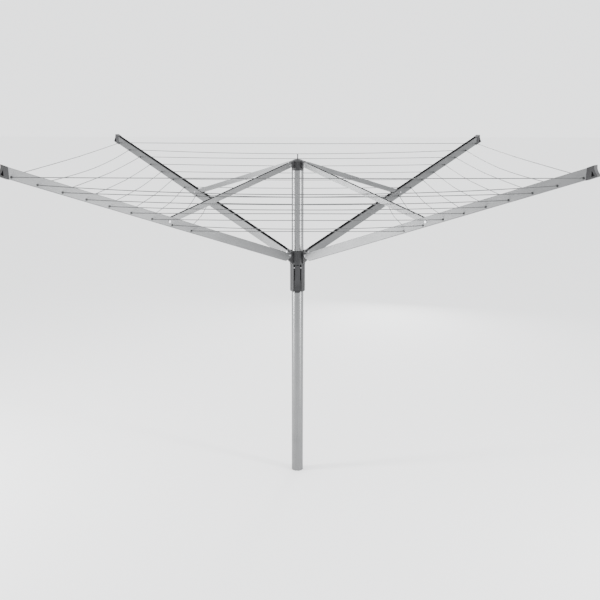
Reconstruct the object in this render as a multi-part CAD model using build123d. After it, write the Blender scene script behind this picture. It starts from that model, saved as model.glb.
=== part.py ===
from build123d import *
import math
import os

# A rotary clothesline, open, in millimetres. Z = 0 is the mast's lower end and Z is the mast's axis.
# Each arm is built in its own frame: X outward from the hub pivot along the arm, Z square to it.

# Driving dimensions: the mast
mast_radius = 27.0
mast_lower_length = 985.0
lower_wall = 2.0
upper_bore_radius = 22.5
groove_width = 5.0
groove_depth = 2.6
groove_count = 4
tube_end_gap = 2.2
foot_plug_length = 20.0
foot_plug_wall = 3.0

# Driving dimensions: the turning joint between the two tubes
spigot_radius = 19.6
spigot_wall = 2.5
spigot_engagement = 120.0
spigot_collar_length = 80.0
bush_length = 24.0
washer_thickness = 2.0

# Driving dimensions: where the arms and struts hinge
hub_pivot_radius = 58.0
hub_pivot_height = 1050.0
cap_pivot_radius = 54.0
cap_rise = 399.0
arm_slope = 19.3
brace_distance = 696.6
brace_drop = 10.8

# Driving dimensions: arms and struts
arm_width = 22.0
arm_height = 37.0
arm_wall = 1.6
arm_above_pivot = 7.1
arm_nose = 9.0
arm_nose_cut = (25.0, 23.9)
arm_bottom_radius = 2.0
liner_wall = 1.0
liner_cap = 0.9
liner_start = 32.0
strut_side_play = 0.55
strut_height = 22.0
strut_wall = 1.4
strut_web_start = 15.0

# Driving dimensions: the line and its eyelets
line_radius = 1.6
line_count = 9
line_pitch = 100.0
first_hole = 1380.0
hole_drop = 21.4
eyelet_bore_radius = 2.1
eyelet_neck_radius = 3.2
eyelet_flange_radius = 4.8
eyelet_flange = 1.0
line_stand_off = 2.6
line_bend = 4.0
mid_span_gap = 0.5
front_sags = (3.0, 32.0, 16.0, 18.0, 13.0, 3.0, 5.0, 16.0, 3.0)
other_sags = (3.0, 20.0, 8.0, 8.0, 6.0, 3.0, 5.0, 8.0, 3.0)

# Driving dimensions: the arm tips
tip_top_overlap = 5.0
tip_low_overlap = 20.5
tip_reach = 25.0
tip_side = 2.0
tip_hook = 2.0
tip_hollow = 5.0
tip_edge = 1.0
tip_web = 9.0
tip_recess = ((-22.0, 7.0), (-15.0, 26.0), (-9.0, 7.0))
channel_past_hole = 26.0

# Driving dimensions: hub, handle and release lever
slide_gap = 4.6
hub_wall = 3.6
hub_above_pivot = 14.0
hub_below_pivot = 48.0
fin_side_play = 4.2
fin_reach = 15.5
fin_top = 11.0
fin_bottom = 17.0
slot_reach = 8.0
handle_wall = 2.8
handle_length = 124.0
rail_inner = 15.6
rail_width = 4.0
rail_set_back = 1.6
lever_clear = 1.0
lever_thickness = 5.4
stem_half_width = 12.0
grip_half_width = 14.6
stem_length = 67.5
lever_length = 119.5
lever_pin_drop = 12.0
lever_head = 9.5
lip_depth = 3.6
lip_height = 5.0
ridge_count = 4
ridge_pitch = 7.0
ridge_depth = 1.2
ridge_width = 3.2
lever_pin_radius = 1.5

# Driving dimensions: the cap
cap_skirt = 24.0
plug_length = 20.0
plug_wall = 4.0
cap_top = 25.0
dome_overhang = 3.0
dome_edge = 16.0
cap_fin_side_play = 0.6
cap_fin_radius = 10.0
cap_fin_top = 18.0
eye_thickness = 5.0
eye_width = 20.0
eye_rise = 23.0
eye_root = 8.0
eye_hole_radius = 4.5
cap_rib_depth = 3.0

# Driving dimensions: pins and rivets
hub_pin_radius = 3.0
hub_pin_head = (4.8, 2.0)
brace_rivet_radius = 3.0
brace_rivet_head = (6.0, 2.2)
cap_pin_radius = 3.0
cap_pin_head = (4.4, 1.8)
cap_rivet_radius = 1.4
cap_rivet_head = (2.3, 1.4)

# Named clearances
running = 0.05
seat = 0.05
side_play = 0.4

arm_names = {"rear_right": 45, "rear_left": 135, "front_left": 225, "front_right": 315}
front_side = 270

cap_pivot_height = hub_pivot_height + cap_rise
mast_upper_start = mast_lower_length + tube_end_gap
cap_base = cap_pivot_height - cap_skirt
mast_top = cap_base - seat
cap_rivet_height = cap_base - plug_length / 2
dome_edge_radius = mast_radius + dome_overhang
hub_bottom = hub_pivot_height - hub_below_pivot
bore_radius = mast_radius + slide_gap
hub_radius = bore_radius + hub_wall
handle_radius = bore_radius + handle_wall
lever_back = bore_radius + lever_clear
lever_front = lever_back + lever_thickness
rail_front = lever_front - rail_set_back
arm_bottom = arm_above_pivot - arm_height
arm_length = first_hole + channel_past_hole
strut_width = arm_width - 2 * (arm_wall + liner_wall + seat + strut_side_play)
cap_fin_thickness = strut_width - 2 * (strut_wall + cap_fin_side_play)
fin_thickness = arm_width - 2 * (arm_wall + fin_side_play)
slope = math.radians(arm_slope)

# The strut runs from the cap pivot to the brace rivet on its arm
brace_radius = hub_pivot_radius + brace_distance * math.cos(slope) + brace_drop * math.sin(slope)
brace_height = hub_pivot_height + brace_distance * math.sin(slope) - brace_drop * math.cos(slope)
strut_run = brace_radius - cap_pivot_radius
strut_fall = cap_pivot_height - brace_height
strut_length = math.hypot(strut_run, strut_fall)
strut_drop = math.degrees(math.atan2(strut_fall, strut_run))
holes = [first_hole - line_pitch * i for i in range(line_count)]


def side_shape(points, width):
    """A flat outline in the XZ plane, given width along Y, half to each side."""
    return extrude(Plane.XZ * make_face(Polyline(*points, close=True)), amount=width / 2, both=True)


def cross_rod(x, z, radius, length):
    """A round bar along Y."""
    return extrude(Plane.XZ * Pos(x, z) * Circle(radius), amount=length / 2, both=True)


def tube(outer, inner, bottom, top):
    """A ring or tube round the mast's axis."""
    ring = Cylinder(outer, top - bottom) - Cylinder(inner, top - bottom)
    return Pos(0, 0, (top + bottom) / 2) * ring


def in_arm_frame(shape):
    """Places a shape from the arm's own frame at the open arm, pointing along X."""
    return Pos(hub_pivot_radius, 0, hub_pivot_height) * Rot(0, -arm_slope, 0) * shape


def in_strut_frame(shape):
    """Places a shape from the strut's own frame, from the cap pivot to the brace rivet."""
    return Pos(cap_pivot_radius, 0, cap_pivot_height) * Rot(0, strut_drop, 0) * shape


def headed_pin(x, z, radius, head, grip):
    """A pin along Y with a low round head each side of what it holds."""
    pin = cross_rod(x, z, radius, grip + 2 * head[1])
    for side in (-1, 1):
        disc = Rot(90, 0, 0) * Cylinder(head[0], head[1])
        disc = fillet(disc.edges().group_by(Axis.Y)[0 if side < 0 else -1], head[1] * 0.45)
        pin += Pos(x, side * (grip + head[1]) / 2, z) * disc
    return pin


def make_lower_tube():
    return tube(mast_radius, mast_radius - lower_wall, 0, mast_lower_length)


def make_upper_tube():
    body = tube(mast_radius, upper_bore_radius, mast_upper_start, mast_top)
    middle = (mast_upper_start + mast_top) / 2
    groove = Box(2 * groove_depth, groove_width, mast_top - mast_upper_start)
    for i in range(groove_count):
        body -= Rot(0, 0, 360 / groove_count * i) * Pos(mast_radius, 0, middle) * groove
    rivet_hole = Rot(0, 90, 0) * Cylinder(cap_rivet_radius + seat, 3 * mast_radius)
    return body - Pos(0, 0, cap_rivet_height) * rivet_hole


def make_foot_plug():
    radius = mast_radius - lower_wall - seat
    body = tube(radius, radius - foot_plug_wall, 0, foot_plug_length)
    return body + tube(radius, radius / 3, 0, foot_plug_wall)


def make_spigot():
    collar_radius = mast_radius - lower_wall - seat
    inner = spigot_radius - spigot_wall
    low = mast_lower_length - spigot_collar_length
    body = tube(collar_radius, inner, low, mast_lower_length)
    return body + tube(spigot_radius, inner, mast_lower_length, mast_lower_length + spigot_engagement)


def make_bushes():
    low = mast_upper_start + running
    high = mast_lower_length + spigot_engagement - bush_length
    return [
        tube(upper_bore_radius - seat, spigot_radius + running, z, z + bush_length)
        for z in (low, high)
    ]


def make_washer():
    bottom = mast_lower_length + running
    return tube(mast_radius - 0.5, spigot_radius + side_play, bottom, bottom + washer_thickness)


def make_cap():
    """A domed cap flush with the mast, plugged into its tube, with a hinge fin for each strut."""
    edge = cap_pivot_height + dome_edge
    top = cap_pivot_height + cap_top
    outline = Polyline(
        (0, top - 3), (0, cap_base), (mast_radius, cap_base), (mast_radius, edge - 4), (dome_edge_radius, edge)
    )
    dome = ThreePointArc((dome_edge_radius, edge), (dome_edge_radius * 0.62, top - 2.8), (0, top))
    closing = Line((0, top), (0, top - 3))
    body = revolve(Plane.XZ * make_face([outline, dome, closing]), Axis.Z)
    plug_radius = upper_bore_radius - seat
    body += tube(plug_radius, plug_radius - plug_wall, cap_base - plug_length, cap_base + plug_wall)
    inside = mast_radius - plug_wall
    end = cap_pivot_radius + cap_fin_radius * 0.5
    drop = cap_fin_radius * 0.9
    points = [
        (inside, -drop - 4),
        (mast_radius + 2, -drop - 4),
        (cap_pivot_radius - 8, -drop),
        (cap_pivot_radius, -drop),
        (end, 8),
        (cap_pivot_radius - 8, 12.5),
        (dome_edge_radius, cap_fin_top),
        (inside, cap_fin_top),
    ]
    fin = Pos(0, 0, cap_pivot_height) * side_shape(points, cap_fin_thickness)
    fin += cross_rod(cap_pivot_radius, cap_pivot_height, cap_fin_radius, cap_fin_thickness)
    fin -= cross_rod(cap_pivot_radius, cap_pivot_height, cap_pin_radius + seat, 2 * cap_fin_thickness)
    for azimuth in arm_names.values():
        body += Rot(0, 0, azimuth) * fin
    rib_height = edge - cap_base - 6
    rib = Box(eye_thickness, 2 * cap_rib_depth, rib_height)
    body += Pos(0, -mast_radius, cap_base + 3 + rib_height / 2) * rib
    body -= Pos(0, 0, top - eye_root) * Box(
        eye_thickness + 2 * seat, eye_width + 2 * seat, 2 * eye_root, align=(Align.CENTER, Align.CENTER, Align.MIN)
    )
    rivet_hole = Rot(0, 90, 0) * Cylinder(cap_rivet_radius + seat, 3 * mast_radius)
    return body - Pos(0, 0, cap_rivet_height) * rivet_hole


def make_hanging_eye():
    """An upright tongue with a hole, standing in a slot in the dome."""
    base = cap_pivot_height + cap_top - eye_root + seat
    top = cap_pivot_height + cap_top + eye_rise
    half = eye_width / 2
    with_round = Plane.YZ * make_face(
        [
            Line((-half, base), (half, base)),
            Line((half, base), (half * 0.8, top - half * 0.8)),
            ThreePointArc((half * 0.8, top - half * 0.8), (0, top), (-half * 0.8, top - half * 0.8)),
            Line((-half * 0.8, top - half * 0.8), (-half, base)),
        ]
    )
    eye = extrude(with_round, amount=eye_thickness / 2, both=True)
    hole = Plane.YZ * Pos(0, top - half * 0.9) * Circle(eye_hole_radius)
    return eye - extrude(hole, amount=eye_thickness, both=True)


def make_cap_rivets():
    """Two rivets through the tube into the cap's plug, with their heads sunk in the tube's grooves."""
    floor = mast_radius - groove_depth
    inner = upper_bore_radius - seat - plug_wall
    head = Pos(floor + seat + cap_rivet_head[1] / 2, 0, 0) * Rot(0, 90, 0) * Cylinder(*cap_rivet_head)
    length = floor + 2 * seat - inner
    rivet = head + Pos(inner + length / 2, 0, 0) * Rot(0, 90, 0) * Cylinder(cap_rivet_radius, length)
    return [Pos(0, 0, cap_rivet_height) * Rot(0, 0, turn) * rivet for turn in (0, 180)]


def make_cap_pins():
    pin = headed_pin(cap_pivot_radius, cap_pivot_height, cap_pin_radius, cap_pin_head, strut_width + side_play)
    return [Rot(0, 0, azimuth) * pin for azimuth in arm_names.values()]


def make_strut():
    """A channel open at the top, with round ends that straddle the cap's fin and sit inside the arm."""
    half = strut_height / 2
    body = Pos(strut_length / 2, 0, 0) * Box(strut_length, strut_width, strut_height)
    for x in (0, strut_length):
        body += cross_rod(x, 0, half, strut_width)
    inner = strut_width - 2 * strut_wall
    body -= Pos(strut_length / 2, 0, strut_wall) * Box(strut_length + 4 * half, inner, strut_height)
    for x in (strut_web_start - 2 * half, strut_length - strut_web_start + 2 * half):
        body -= Pos(x, 0, 0) * Box(4 * half, inner, 2 * strut_height)
    for x in (0, strut_length):
        body -= cross_rod(x, 0, cap_pin_radius + running, 2 * strut_width)
    return in_strut_frame(body)


def arm_crossings(radius, length):
    """Bars through every place where a pin, rivet or eyelet crosses an arm, with the clearance named."""
    bars = cross_rod(0, 0, hub_pin_radius + radius, length)
    bars += cross_rod(brace_distance, -brace_drop, brace_rivet_radius + radius, length)
    for hole in holes:
        bars += cross_rod(hole, -hole_drop, eyelet_neck_radius + radius, length)
    return bars


def make_arm():
    """A tall narrow channel, open at the top, with its hub end rounded above and cut away below."""
    cut_run, cut_rise = arm_nose_cut
    points = [
        (-arm_nose, arm_above_pivot),
        (-arm_nose, arm_bottom + cut_rise),
        (cut_run - arm_nose, arm_bottom),
        (arm_length, arm_bottom),
        (arm_length, arm_above_pivot),
    ]
    body = side_shape(points, arm_width)
    corners = body.edges().filter_by(Axis.Y).group_by(Axis.X)[0]
    body = fillet(corners, arm_nose * 0.7)
    bottom = body.faces().sort_by(Axis.Z)[0].edges().filter_by(Axis.X)
    body = fillet(bottom, arm_bottom_radius)
    inner = arm_width - 2 * arm_wall
    cavity = Box(arm_length + 2 * arm_height, inner, arm_height, align=(Align.CENTER, Align.CENTER, Align.MIN))
    body -= Pos(arm_length / 2, 0, arm_bottom + arm_wall) * cavity
    return body - arm_crossings(seat, 2 * arm_width)


def make_liner():
    """A thin dark channel inside the arm's channel, with a flat edge over the top of each arm wall."""
    outer = arm_width - 2 * arm_wall - 2 * seat
    bottom = arm_bottom + arm_wall + seat
    shoulder = arm_above_pivot + seat
    top = shoulder + liner_cap
    length = arm_length - tip_top_overlap - 2 * side_play - liner_start
    sit = (Align.MIN, Align.CENTER, Align.MIN)
    body = Pos(0, 0, bottom) * Box(length, outer, top - bottom, align=sit)
    body += Pos(0, 0, shoulder) * Box(length, arm_width, liner_cap, align=sit)
    body -= Pos(0, 0, bottom + liner_wall) * Box(length, outer - 2 * liner_wall, arm_height, align=sit)
    return Pos(liner_start, 0, 0) * body - arm_crossings(seat, 2 * arm_width)


def make_eyelets():
    """A flanged eyelet in each wall at every line hole."""
    neck = arm_wall + liner_wall + 2 * seat
    eyelets = []
    for hole in holes:
        for side in (-1, 1):
            flange = Rot(90, 0, 0) * Cylinder(eyelet_flange_radius, eyelet_flange)
            outer_edge = flange.edges().group_by(Axis.Y)[0 if side < 0 else -1]
            flange = fillet(outer_edge, eyelet_flange * 0.5)
            ring = Pos(0, side * (arm_width + eyelet_flange) / 2, 0) * flange
            ring += Pos(0, side * (arm_width - neck) / 2, 0) * Rot(90, 0, 0) * Cylinder(eyelet_neck_radius, neck)
            ring -= Rot(90, 0, 0) * Cylinder(eyelet_bore_radius, 2 * arm_width)
            eyelets.append(Pos(hole, 0, -hole_drop) * ring)
    return eyelets


def make_tip():
    """A moulded end piece over the channel's end: slanted inside, hollowed outside to hook things on."""
    low = arm_bottom - tip_side
    high = arm_above_pivot + tip_side
    width = arm_width + 2 * tip_side
    end = arm_length + tip_reach
    top_start = arm_length - tip_top_overlap
    low_start = arm_length - tip_low_overlap
    crown = (end - tip_hook, high + tip_side / 2)
    toe = (end, low + 3 * tip_side)
    heel = (end - tip_hook, low + tip_side / 2)
    outline = [
        Line((top_start, high), crown),
        ThreePointArc(crown, (end - tip_hollow, (high + low) / 2), toe),
        Polyline(toe, heel, (low_start, low), (top_start, high)),
    ]
    body = extrude(Plane.XZ * make_face(outline), amount=width / 2, both=True)
    sides = body.edges().group_by(Axis.Y)
    body = chamfer(sides[0] + sides[-1], tip_edge)
    body -= Pos(low_start - 1, 0, arm_bottom - seat) * Box(
        tip_low_overlap + 1 + seat, arm_width + 2 * seat, arm_height + 2 * seat, align=(Align.MIN, Align.CENTER, Align.MIN)
    )
    recess = [(end + x, low + z) for x, z in tip_recess]
    body -= side_shape(recess, 2 * width)
    return body + side_shape(recess, tip_web)


def arm_sides(azimuth):
    """The sags of the line on an arm's clockwise and anticlockwise sides."""
    sides = []
    for turn in (-45, 45):
        sides.append(front_sags if (azimuth + turn) % 360 == front_side else other_sags)
    return sides


def half_line(radius, height, side, sag):
    """The path of a line on one side of an arm: a small bend at the eyelet, then an arc to mid-span."""
    exit_width = arm_width / 2 + eyelet_flange + line_stand_off
    corner = Vector(radius, side * exit_width, height)
    middle = Vector(radius / 2 + mid_span_gap, side * (radius / 2 - mid_span_gap), height - sag)
    level = Vector(middle.X - corner.X, middle.Y - corner.Y, 0)
    leaving = (level.normalized() - Vector(0, 0, 2 * sag / level.length)).normalized()
    bend_start = corner - Vector(0, side * line_bend, 0)
    bend_end = corner + leaving * line_bend
    bend = TangentArc(bend_start, bend_end, tangent=Vector(0, side, 0))
    span = TangentArc(bend_end, middle, tangent=leaving)
    return bend_start, bend, span


def make_lines(azimuth):
    """Each line's stretch through one arm, from mid-span on one side to mid-span on the other."""
    clockwise, anticlockwise = arm_sides(azimuth)
    lines = []
    for i, hole in enumerate(holes):
        radius = hub_pivot_radius + hole * math.cos(slope) + hole_drop * math.sin(slope)
        height = hub_pivot_height + hole * math.sin(slope) - hole_drop * math.cos(slope)
        left, left_bend, left_span = half_line(radius, height, -1, clockwise[i])
        right, right_bend, right_span = half_line(radius, height, 1, anticlockwise[i])
        path = Wire([left_span, left_bend, Line(left, right), right_bend, right_span])
        section = Plane(origin=path @ 0, z_dir=path % 0) * Circle(line_radius)
        lines.append(sweep(section, path=path))
    return lines


def make_hub():
    """The sliding hub: a sleeve with a hinge fin for each arm. The fins' slots are the open pivots."""
    top = hub_pivot_height + hub_above_pivot
    body = tube(hub_radius, bore_radius, hub_bottom, top)
    body = fillet(body.edges().filter_by(GeomType.CIRCLE).group_by(Axis.Z)[-1].sort_by(SortBy.LENGTH)[-1], 1.5)
    inside = bore_radius + hub_wall * 0.4
    end = hub_pivot_radius + fin_reach
    points = [
        (inside, -hub_below_pivot + 6),
        (hub_radius + 4, -hub_below_pivot + 6),
        (end - 8, -fin_bottom),
        (end, -fin_bottom + 9),
        (end, fin_top - 6),
        (end - 6, fin_top),
        (inside, fin_top),
    ]
    fin = side_shape(points, fin_thickness)
    fin -= Pos(hub_pivot_radius, 0, 0) * Box(2 * slot_reach, 2 * fin_thickness, 2 * (hub_pin_radius + side_play))
    for side in (-1, 1):
        x = hub_pivot_radius + side * slot_reach
        fin -= cross_rod(x, 0, hub_pin_radius + side_play, 2 * fin_thickness)
    for azimuth in arm_names.values():
        body += Pos(0, 0, hub_pivot_height) * Rot(0, 0, azimuth) * fin
    return body


def make_handle():
    """The grip under the hub: a sleeve, open at the front, with a rail each side of the lever."""
    bottom = hub_bottom - handle_length
    body = tube(handle_radius, bore_radius, bottom, hub_bottom)
    round_edge = body.edges().filter_by(GeomType.CIRCLE).group_by(Axis.Z)[0].sort_by(SortBy.LENGTH)[-1]
    body = fillet(round_edge, handle_wall * 0.6)
    middle = hub_bottom - handle_length / 2
    for side in (-1, 1):
        rail = Box(rail_width, rail_front, handle_length, align=(Align.CENTER, Align.MAX, Align.CENTER))
        rail = fillet(rail.edges().filter_by(Axis.Z).group_by(Axis.Y)[0], rail_width * 0.3)
        body += Pos(side * (rail_inner + rail_width / 2), 0, middle) * rail
    body -= Pos(0, 0, middle) * Cylinder(bore_radius, handle_length + 1)
    body -= Pos(0, 0, middle) * Box(
        2 * rail_inner, 2 * rail_front, handle_length + 1, align=(Align.CENTER, Align.MAX, Align.CENTER)
    )
    pin_hole = Rot(0, 90, 0) * Cylinder(lever_pin_radius + seat, 4 * rail_front)
    return body - Pos(0, -lever_axis_depth(), lever_axis_height()) * pin_hole


def lever_axis_depth():
    return (lever_back + lever_front) / 2


def lever_axis_height():
    return hub_bottom - lever_pin_drop


def make_lever():
    """The release lever: a narrow stem that widens to a ridged grip with a lip below it."""
    axis = lever_axis_height()
    thick = lever_front - lever_back
    centre = -(lever_front + lever_back) / 2
    top = axis + lever_head
    stem = Box(2 * stem_half_width, thick, stem_length, align=(Align.CENTER, Align.CENTER, Align.MAX))
    body = Pos(0, centre, top) * stem
    grip_length = lever_length - stem_length
    grip = Box(2 * grip_half_width, thick, grip_length, align=(Align.CENTER, Align.CENTER, Align.MAX))
    body += Pos(0, centre, top - stem_length) * grip
    low = top - lever_length
    lip = Box(
        2 * grip_half_width * 0.86, thick + lip_depth, lip_height, align=(Align.CENTER, Align.MAX, Align.MAX)
    )
    body += Pos(0, -lever_back, low) * lip
    front = body.edges().filter_by(Axis.Z).group_by(Axis.Y)[0]
    body = fillet(front, 1.2)
    for i in range(ridge_count):
        height = low + ridge_pitch * (i + 0.8)
        groove = Box(2 * grip_half_width * 0.74, 2 * ridge_depth, ridge_width)
        body -= Pos(0, -lever_front, height) * groove
    bore = Rot(0, 90, 0) * Cylinder(lever_pin_radius + running, 4 * stem_half_width)
    return body - Pos(0, -lever_axis_depth(), axis) * bore


def make_lever_pin():
    length = 2 * (rail_inner + rail_width)
    pin = Rot(0, 90, 0) * Cylinder(lever_pin_radius, length)
    return Pos(0, -lever_axis_depth(), lever_axis_height()) * pin


def make_lever_springs():
    """Close-wound torsion springs on the pin, one between the stem and each rail."""
    room = rail_inner - stem_half_width
    length = room - 2 * side_play
    coil = Cylinder(lever_pin_radius + 0.9, length) - Cylinder(lever_pin_radius + 0.2, length)
    springs = []
    for side in (-1, 1):
        place = Pos(side * (stem_half_width + room / 2), -lever_axis_depth(), lever_axis_height())
        springs.append(place * Rot(0, 90, 0) * coil)
    return springs


def save(name, shape):
    """Writes one node. A list is a group of separate solids."""
    if isinstance(shape, list):
        shape = Compound(children=[solid for item in shape for solid in item.solids()])
    export_step(shape, f"parts/{name}.step")


def main():
    os.makedirs("parts", exist_ok=True)
    save("mast_lower_tube", make_lower_tube())
    save("mast_foot_plug", make_foot_plug())
    save("mast_spigot", make_spigot())
    save("thrust_washer", make_washer())
    save("mast_upper_tube", make_upper_tube())
    save("spin_bushes", make_bushes())
    save("top_cap", make_cap())
    save("hanging_eye", make_hanging_eye())
    save("cap_rivets", make_cap_rivets())
    save("cap_pins", make_cap_pins())
    save("hub", make_hub())
    save("handle", make_handle())
    save("release_lever", make_lever())
    save("lever_pin", make_lever_pin())
    save("lever_springs", make_lever_springs())
    strut = make_strut()
    arm = in_arm_frame(make_arm())
    liner = in_arm_frame(make_liner())
    tip = in_arm_frame(make_tip())
    eyelets = [in_arm_frame(eyelet) for eyelet in make_eyelets()]
    hub_pin = in_arm_frame(headed_pin(0, 0, hub_pin_radius, hub_pin_head, arm_width))
    brace_rivet = headed_pin(brace_distance, -brace_drop, brace_rivet_radius, brace_rivet_head, arm_width)
    brace_rivet = in_arm_frame(brace_rivet)
    for name, azimuth in arm_names.items():
        turn = Rot(0, 0, azimuth)
        save(f"strut_{name}", turn * strut)
        save(f"arm_{name}", turn * arm)
        save(f"arm_liner_{name}", turn * liner)
        save(f"arm_tip_{name}", turn * tip)
        save(f"line_eyelets_{name}", [turn * eyelet for eyelet in eyelets])
        save(f"hub_pin_{name}", turn * hub_pin)
        save(f"brace_rivet_{name}", turn * brace_rivet)
        save(f"lines_{name}", [turn * line for line in make_lines(azimuth)])


main()
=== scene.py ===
import bpy
import math
import numpy as np
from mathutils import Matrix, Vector


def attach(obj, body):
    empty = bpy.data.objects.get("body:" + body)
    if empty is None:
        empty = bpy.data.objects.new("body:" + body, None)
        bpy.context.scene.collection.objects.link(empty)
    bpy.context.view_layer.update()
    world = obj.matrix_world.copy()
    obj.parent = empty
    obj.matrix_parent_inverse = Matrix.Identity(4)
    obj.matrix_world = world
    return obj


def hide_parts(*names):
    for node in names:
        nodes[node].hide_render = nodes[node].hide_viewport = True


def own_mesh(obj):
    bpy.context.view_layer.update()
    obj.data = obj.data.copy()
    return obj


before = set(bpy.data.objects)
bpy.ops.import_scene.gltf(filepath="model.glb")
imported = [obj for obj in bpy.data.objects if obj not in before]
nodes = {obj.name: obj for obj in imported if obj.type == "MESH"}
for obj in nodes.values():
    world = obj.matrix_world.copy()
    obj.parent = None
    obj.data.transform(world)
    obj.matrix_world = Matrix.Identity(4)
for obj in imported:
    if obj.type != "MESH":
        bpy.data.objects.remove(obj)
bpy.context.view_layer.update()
armAzimuths = {"rear_right": 45, "rear_left": 135, "front_left": 225, "front_right": 315}
print("frame loaded")


# A value on a shader socket, so that sums on values read as Python
class Wire:
    def __init__(self, tree, socket=None):
        self.tree = tree
        self.socket = socket

    # any node: its kind, its settings, then the values or links of its sockets
    def node(self, kind, settings=None, links=None, out=0):
        made = self.tree.nodes.new(kind)
        for name, value in (settings or {}).items():
            setattr(made, name, value)
        for name, value in (links or {}).items():
            self.feed(made.inputs[name], value)
        return Wire(self.tree, made.outputs[out])

    def feed(self, target, value):
        if isinstance(value, Wire):
            self.tree.links.new(value.socket, target)
        else:
            target.default_value = value

    def maths(self, operation, first, second):
        return self.node("ShaderNodeMath", {"operation": operation}, {0: first, 1: second})

    def dot(self, direction):
        settings = {"operation": "DOT_PRODUCT"}
        return self.node("ShaderNodeVectorMath", settings, {0: self, 1: direction}, out="Value")

    def noise(self, scale, detail=2.0, roughness=0.5):
        links = {"Vector": self, "Scale": scale, "Detail": detail, "Roughness": roughness}
        return self.node("ShaderNodeTexNoise", {}, links)

    def between(self, low, high):
        return self.node("ShaderNodeMapRange", {}, {"Value": self, "From Min": low, "From Max": high})

    def colours(self, dark, light):
        links = {0: self, 6: (*dark, 1.0), 7: (*light, 1.0)}
        return self.node("ShaderNodeMix", {"data_type": "RGBA"}, links, out=2)

    def __add__(self, other):
        return self.maths("ADD", self, other)

    def __radd__(self, other):
        return self.maths("ADD", other, self)

    def __mul__(self, other):
        return self.maths("MULTIPLY", self, other)

    def __rmul__(self, other):
        return self.maths("MULTIPLY", other, self)


def openMaterial(name):
    material = bpy.data.materials.new(name)
    material.use_nodes = True
    tree = material.node_tree
    shader = next(node for node in tree.nodes if node.type == "BSDF_PRINCIPLED")
    place = Wire(tree).node("ShaderNodeTexCoord", out="Object")
    return material, shader, place


def closeMaterial(shader, place, colour, roughness, height, look):
    place.feed(shader.inputs["Base Color"], colour)
    place.feed(shader.inputs["Roughness"], roughness)
    relief = {"Strength": look["bump"], "Distance": look["bumpDepth"], "Height": height}
    bump = place.node("ShaderNodeBump", {}, relief)
    place.feed(shader.inputs["Normal"], bump)
    shader.inputs["Metallic"].default_value = look["metallic"]
    shader.inputs["Specular IOR Level"].default_value = look.get("specular", 0.5)


# Anodised aluminium with painted shade: base colours far darker than the bare metal stand in for the dark
# surroundings it reflects, and the lower mast and the arms are painted darker than the upper mast and the
# struts.
anodisedPaintedShade = {
    "mast": {"dark": (0.150, 0.152, 0.154), "light": (0.200, 0.202, 0.204), "rough": 0.22, "spread": 0.12,
             "bump": 0.18, "bumpDepth": 0.0002, "lineScale": 520.0, "alongShare": 0.012, "metallic": 1.0},
    "mastUpper": {"dark": (0.160, 0.162, 0.164), "light": (0.212, 0.214, 0.216), "rough": 0.22,
                  "spread": 0.12, "bump": 0.18, "bumpDepth": 0.0002, "lineScale": 520.0,
                  "alongShare": 0.012, "metallic": 1.0},
    "arm": {"dark": (0.112, 0.114, 0.116), "light": (0.148, 0.150, 0.152), "rough": 0.34, "spread": 0.12,
            "bump": 0.22, "bumpDepth": 0.0002, "lineScale": 640.0, "alongShare": 0.010, "metallic": 1.0},
    "strut": {"dark": (0.128, 0.130, 0.132), "light": (0.166, 0.168, 0.170), "rough": 0.32, "spread": 0.12,
              "bump": 0.22, "bumpDepth": 0.0002, "lineScale": 640.0, "alongShare": 0.010, "metallic": 1.0},
}


dieMarks = {
    "lineDetail": 3.0, "lineRoughness": 0.6,
    "cloudScale": 9.0, "cloudDetail": 3.0,
    "dustScale": 140.0, "dustDetail": 2.0,
    "lineShare": 0.55, "shadeLow": 0.3, "shadeHigh": 0.7, "polishLineShare": 0.5,
}


# Satin metal: noise squeezed across the extrusion and drawn out along it gives fine die lines
def satinMetal(name, look, along):
    material, shader, place = openMaterial(name)
    direction = Vector(along).normalized()
    first = direction.orthogonal().normalized()
    second = direction.cross(first)
    drawn = place.node("ShaderNodeCombineXYZ", {}, {
        "X": place.dot(first), "Y": place.dot(second), "Z": place.dot(direction) * look["alongShare"]})
    marks = dieMarks
    lines = drawn.noise(look["lineScale"], marks["lineDetail"], marks["lineRoughness"])
    clouds = place.noise(marks["cloudScale"], marks["cloudDetail"])
    dust = place.noise(marks["dustScale"], marks["dustDetail"])
    mixed = lines * marks["lineShare"] + clouds * (1 - marks["lineShare"])
    shade = mixed.between(marks["shadeLow"], marks["shadeHigh"])
    polish = lines * marks["polishLineShare"] + dust * (1 - marks["polishLineShare"])
    roughness = look["rough"] + look["spread"] * polish
    closeMaterial(shader, place, shade.colours(look["dark"], look["light"]), roughness, lines, look)
    return material


plastics = {
    "moulded": {"dark": (0.012, 0.012, 0.013), "light": (0.024, 0.024, 0.026), "rough": 0.42, "spread": 0.16,
                "bump": 0.30, "bumpDepth": 0.0002, "grain": 1900.0, "metallic": 0.0, "specular": 0.32},
    # liner: near-black strip in each arm channel, painted shade of the deep channel interior
    "liner": {"dark": (0.010, 0.010, 0.011), "light": (0.019, 0.019, 0.020), "rough": 0.48, "spread": 0.12,
              "bump": 0.15, "bumpDepth": 0.0001, "grain": 900.0, "metallic": 0.0, "specular": 0.32},
    "eyelet": {"dark": (0.010, 0.010, 0.011), "light": (0.020, 0.020, 0.022), "rough": 0.26, "spread": 0.10,
               "bump": 0.08, "bumpDepth": 0.0001, "grain": 1500.0, "metallic": 0.0, "specular": 0.32},
    "bearing": {"dark": (0.66, 0.66, 0.63), "light": (0.78, 0.78, 0.75), "rough": 0.38, "spread": 0.10,
                "bump": 0.08, "bumpDepth": 0.0001, "grain": 1200.0, "metallic": 0.0},
    "sheath": {"dark": (0.040, 0.041, 0.042), "light": (0.065, 0.066, 0.068), "rough": 0.36, "spread": 0.14,
               "bump": 0.15, "bumpDepth": 0.0001, "grain": 1100.0, "metallic": 0.0},
}


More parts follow.
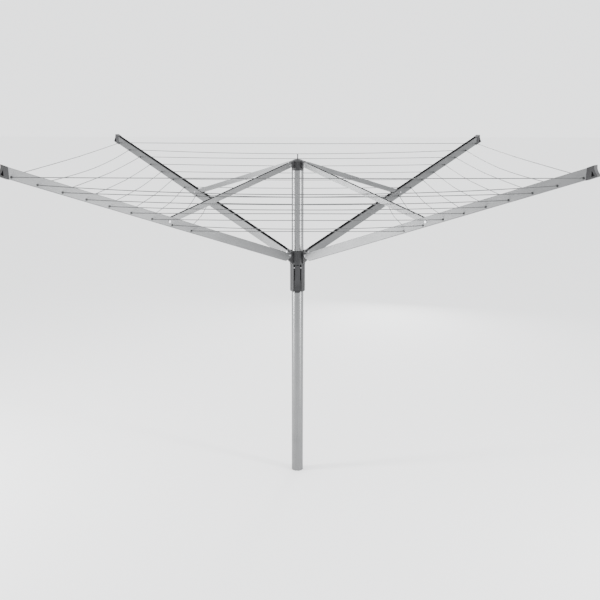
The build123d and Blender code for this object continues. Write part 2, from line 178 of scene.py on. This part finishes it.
mouldMarks = {
    "cloudScale": 26.0, "cloudDetail": 4.0,
    "scuffScale": 210.0, "scuffDetail": 2.0, "scuffRoughness": 0.6, "scuffLow": 0.45, "scuffHigh": 0.8,
    "cloudShare": 0.7, "shadeLow": 0.25, "shadeHigh": 0.75, "polishCloudShare": 0.6,
}


# Moulded plastic: small cells of grain, with faint slow clouds of colour and polish
def mouldedPlastic(name, look):
    material, shader, place = openMaterial(name)
    grain = place.node("ShaderNodeTexVoronoi", {}, {"Vector": place, "Scale": look["grain"]})
    marks = mouldMarks
    clouds = place.noise(marks["cloudScale"], marks["cloudDetail"])
    scuffs = place.noise(marks["scuffScale"], marks["scuffDetail"], marks["scuffRoughness"])
    scuffs = scuffs.between(marks["scuffLow"], marks["scuffHigh"])
    mixed = clouds * marks["cloudShare"] + scuffs * (1 - marks["cloudShare"])
    shade = mixed.between(marks["shadeLow"], marks["shadeHigh"])
    polish = clouds * marks["polishCloudShare"] + scuffs * (1 - marks["polishCloudShare"])
    roughness = look["rough"] + look["spread"] * polish
    closeMaterial(shader, place, shade.colours(look["dark"], look["light"]), roughness, grain, look)
    return material


steels = {
    "zinc": {"dark": (0.30, 0.30, 0.31), "light": (0.42, 0.42, 0.43), "rough": 0.22, "spread": 0.16,
             "bump": 0.12, "bumpDepth": 0.0001, "metallic": 1.0},
    "spring": {"dark": (0.32, 0.32, 0.33), "light": (0.44, 0.44, 0.45), "rough": 0.30, "spread": 0.14,
               "bump": 0.15, "bumpDepth": 0.0001, "metallic": 1.0},
}


plateMarks = {
    "crystalScale": 420.0, "crystalDetail": 4.0, "crystalRoughness": 0.65,
    "hazeScale": 60.0, "hazeDetail": 2.0,
    "crystalShare": 0.6, "shadeLow": 0.3, "shadeHigh": 0.7,
}


# Plated steel: mottled crystals of zinc with a light all-over haze
def platedSteel(name, look):
    material, shader, place = openMaterial(name)
    marks = plateMarks
    crystals = place.noise(marks["crystalScale"], marks["crystalDetail"], marks["crystalRoughness"])
    haze = place.noise(marks["hazeScale"], marks["hazeDetail"])
    mixed = crystals * marks["crystalShare"] + haze * (1 - marks["crystalShare"])
    shade = mixed.between(marks["shadeLow"], marks["shadeHigh"])
    roughness = look["rough"] + look["spread"] * crystals
    closeMaterial(shader, place, shade.colours(look["dark"], look["light"]), roughness, crystals, look)
    return material


def dress(name, material):
    for slot in nodes[name].material_slots:
        slot.material = material


# How the arms slope when open, in degrees, and how far a strut runs out and down, in metres
slopes = {"arm": 19.3, "strutOut": 0.665, "strutDown": 0.179}
slopeAngle = math.radians(slopes["arm"])
moulded = mouldedPlastic("mouldedPlastic", plastics["moulded"])
# The liner paints the shade inside each arm channel as a near-black strip.
linerPaintedShade = mouldedPlastic("linerPaintedShade", plastics["liner"])
eyeletPlastic = mouldedPlastic("eyeletPlastic", plastics["eyelet"])
bearingPlastic = mouldedPlastic("bearingPlastic", plastics["bearing"])
lineSheath = mouldedPlastic("lineSheath", plastics["sheath"])
zincSteel = platedSteel("zincSteel", steels["zinc"])
springSteel = platedSteel("springSteel", steels["spring"])
# The mast tubes take darkened base colours that paint shade into the aluminium.
for name, material in {
    "mast_lower_tube": satinMetal("mastAluminium", anodisedPaintedShade["mast"], (0, 0, 1)),
    "mast_upper_tube": satinMetal("mastUpperAluminium", anodisedPaintedShade["mastUpper"], (0, 0, 1)),
    "mast_foot_plug": moulded, "top_cap": moulded, "hanging_eye": moulded, "hub": moulded, "handle": moulded,
    "release_lever": moulded, "spin_bushes": bearingPlastic, "thrust_washer": bearingPlastic,
    "mast_spigot": zincSteel, "cap_rivets": zincSteel, "cap_pins": zincSteel, "lever_pin": zincSteel,
    "lever_springs": springSteel,
}.items():
    dress(name, material)
for arm, azimuth in armAzimuths.items():
    turn = math.radians(azimuth)
    outward = Vector((math.cos(turn), math.sin(turn), 0))
    armWay = outward * math.cos(slopeAngle) + Vector((0, 0, math.sin(slopeAngle)))
    strutWay = outward * slopes["strutOut"] - Vector((0, 0, slopes["strutDown"]))
    # Arms and struts take darkened base colours that paint shade into the aluminium.
    dress("arm_" + arm, satinMetal("armAluminium_" + arm, anodisedPaintedShade["arm"], armWay))
    dress("strut_" + arm, satinMetal("strutAluminium_" + arm, anodisedPaintedShade["strut"], strutWay))
    dress("arm_liner_" + arm, linerPaintedShade)
    dress("arm_tip_" + arm, moulded)
    dress("line_eyelets_" + arm, eyeletPlastic)
    dress("hub_pin_" + arm, zincSteel)
    dress("brace_rivet_" + arm, zincSteel)
print("materials made")


line = {
    "radius": 0.0016,
    "hubRadius": 0.058,
    "hubHeight": 1.050,
    "firstHole": 1.380,
    "pitch": 0.100,
    "holeDrop": 0.0214,
    "exitWidth": 0.0146,
    "bend": 0.004,
    "middleGap": 0.0005,
    "foldedGap": 0.0025,
    "foldRatio": 0.931,
    "foldLimit": 42.0,
    "halfQuarter": 45,
    "frontAzimuth": 270,
    "frontSags": (3, 32, 16, 18, 13, 3, 5, 16, 3),
    "otherSags": (3, 20, 8, 8, 6, 3, 5, 8, 3),
    "spanSteps": 28,
    "bendSteps": 7,
    "ringSteps": 10,
}


# Half of a line's path: a quadratic bend out of the eyelet, then a span that sags as a parabola
def halfPath(radius, height, side, sag):
    corner = np.array([radius, side * line["exitWidth"], height])
    middle = np.array([radius / 2 + line["middleGap"], side * (radius / 2 - line["middleGap"]), height - sag])
    start = corner - np.array([0, side * line["bend"], 0])
    share = np.linspace(0, 1, line["spanSteps"])[:, None]
    near = line["bend"] / np.linalg.norm(middle - corner)
    share = near + (1 - near) * share
    span = corner + (middle - corner) * share
    span[:, 2] = height - sag * (1 - (1 - share[:, 0]) ** 2)
    turn = np.linspace(0, 1, line["bendSteps"])[:-1, None]
    bend = start * (1 - turn) ** 2 + corner * 2 * turn * (1 - turn) + span[0] * turn ** 2
    return np.vstack([bend, span])


# A tube on a path: each ring is a circle square to the path, and both ends are capped
def tubeMesh(name, path, radius, ringSteps):
    along = np.gradient(path, axis=0)
    along /= np.linalg.norm(along, axis=1)[:, None]
    level = np.cross(along, [0.0, 0.0, 1.0])
    level /= np.linalg.norm(level, axis=1)[:, None]
    rise = np.cross(level, along)
    angle = np.linspace(0, 2 * math.pi, ringSteps, endpoint=False)
    ring = np.cos(angle)[None, :, None] * level[:, None] + np.sin(angle)[None, :, None] * rise[:, None]
    points = np.vstack([(path[:, None] + radius * ring).reshape(-1, 3), path[:1], path[-1:]])
    row, step = np.meshgrid(np.arange(len(path) - 1), np.arange(ringSteps), indexing="ij")
    after = (step + 1) % ringSteps
    faces = np.stack([row * ringSteps + step, (row + 1) * ringSteps + step,
                      (row + 1) * ringSteps + after, row * ringSteps + after], -1).reshape(-1, 4)
    last = (len(path) - 1) * ringSteps
    spin = np.arange(ringSteps)
    follow = (spin + 1) % ringSteps
    firstCap = np.stack([spin, follow, np.full(ringSteps, len(points) - 2)], -1)
    lastCap = np.stack([last + follow, last + spin, np.full(ringSteps, len(points) - 1)], -1)
    mesh = bpy.data.meshes.new(name)
    mesh.from_pydata(points.tolist(), [], faces.tolist() + firstCap.tolist() + lastCap.tolist())
    mesh.polygons.foreach_set("use_smooth", np.ones(len(mesh.polygons), bool))
    return mesh


# Each line is built as a tube and hung on its arm; where its middle would go as the arms fold, less a small
# gap, is computed but not applied.
def strungLine(arm, azimuth, index):
    hole = line["firstHole"] - line["pitch"] * index
    radius = line["hubRadius"] + hole * math.cos(slopeAngle) + line["holeDrop"] * math.sin(slopeAngle)
    height = line["hubHeight"] + hole * math.sin(slopeAngle) - line["holeDrop"] * math.cos(slopeAngle)
    sags = []
    for quarter in (-line["halfQuarter"], line["halfQuarter"]):
        facing = (azimuth + quarter) % 360 == line["frontAzimuth"]
        sags.append((line["frontSags"] if facing else line["otherSags"])[index] / 1000)
    path = np.vstack([halfPath(radius, height, -1, sags[0])[::-1], halfPath(radius, height, 1, sags[1])])
    turn = math.radians(azimuth)
    spin = np.array([[math.cos(turn), -math.sin(turn), 0], [math.sin(turn), math.cos(turn), 0], [0, 0, 1]])
    name = f"line_{arm}_{index + 1}"
    piece = bpy.data.objects.new(name, tubeMesh(name, path @ spin.T, line["radius"], line["ringSteps"]))
    bpy.context.scene.collection.objects.link(piece)
    piece.data.materials.append(lineSheath)
    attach(piece, "arm_" + arm)
    fold = math.radians(line["foldRatio"] * line["foldLimit"])
    middleHeight = height - sum(sags) / 2 - line["hubHeight"]
    middleReach = radius / 2 - line["hubRadius"]
    folded = line["hubRadius"] + middleReach * math.cos(fold) - middleHeight * math.sin(fold)
    folded -= line["foldedGap"]
    folded / (radius / 2)
    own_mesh(piece)
    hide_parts("lines_" + arm)


for arm, azimuth in armAzimuths.items():
    for index in range(len(line["frontSags"])):
        strungLine(arm, azimuth, index)
print("lines strung")


studio = {
    "cameraPlace": (0.0, -3.968, 1.777),
    "cameraTilt": 76.61,
    "cameraPan": -0.14,
    "cameraRoll": -0.1,
    "lens": 53.3,
    "worldColour": (0.95, 0.96, 0.97),
    "worldStrength": 2.4,
    "floorColour": (0.93, 0.93, 0.93),
    "floorRoughness": 0.9,
    "sensorWidth": 36.0,
    "floorSize": 60.0,
    # each light: where it stands, what it faces, its width and height, its power
    "strips": {
        "stripLeft": ((-3.0, -0.55, 1.3), (0, 0, 1.1), (0.45, 2.6), 150),
        "stripRight": ((2.6, -1.5, 1.3), (0, 0, 1.1), (0.35, 2.6), 100),
        "stripRear": ((0.8, 3.2, 1.6), (0, 0, 1.2), (0.6, 2.4), 40),
    },
}


def softBox(name, place, target, size, power):
    light = bpy.data.lights.new(name, "AREA")
    light.shape = "RECTANGLE"
    light.size, light.size_y = size
    light.energy = power
    lamp = bpy.data.objects.new(name, light)
    lamp.location = place
    lamp.rotation_euler = (Vector(target) - Vector(place)).to_track_quat("-Z", "Y").to_euler()
    lamp.visible_camera = False
    bpy.context.scene.collection.objects.link(lamp)


def makeStudio():
    half = studio["floorSize"] / 2
    mesh = bpy.data.meshes.new("studioFloor")
    corners = [(-half, -half, 0), (half, -half, 0), (half, half, 0), (-half, half, 0)]
    mesh.from_pydata(corners, [], [(0, 1, 2, 3)])
    floor = bpy.data.objects.new("studioFloor", mesh)
    bpy.context.scene.collection.objects.link(floor)
    material = bpy.data.materials.new("studioFloor")
    material.use_nodes = True
    shader = next(node for node in material.node_tree.nodes if node.type == "BSDF_PRINCIPLED")
    shader.inputs["Base Color"].default_value = (*studio["floorColour"], 1.0)
    shader.inputs["Roughness"].default_value = studio["floorRoughness"]
    mesh.materials.append(material)
    world = bpy.data.worlds.new("studioWorld")
    bpy.context.scene.world = world
    world.use_nodes = True
    background = next(node for node in world.node_tree.nodes if node.type == "BACKGROUND")
    background.inputs["Color"].default_value = (*studio["worldColour"], 1.0)
    background.inputs["Strength"].default_value = studio["worldStrength"]
    for name, box in studio["strips"].items():
        softBox(name, *box)
    camera = bpy.data.objects.new("camera", bpy.data.cameras.new("camera"))
    camera.location = studio["cameraPlace"]
    turns = ("cameraTilt", "cameraRoll", "cameraPan")
    camera.rotation_euler = [math.radians(studio[name]) for name in turns]
    camera.data.lens = studio["lens"]
    camera.data.sensor_width = studio["sensorWidth"]
    bpy.context.scene.collection.objects.link(camera)
    bpy.context.scene.camera = camera


makeStudio()
print("studio made")
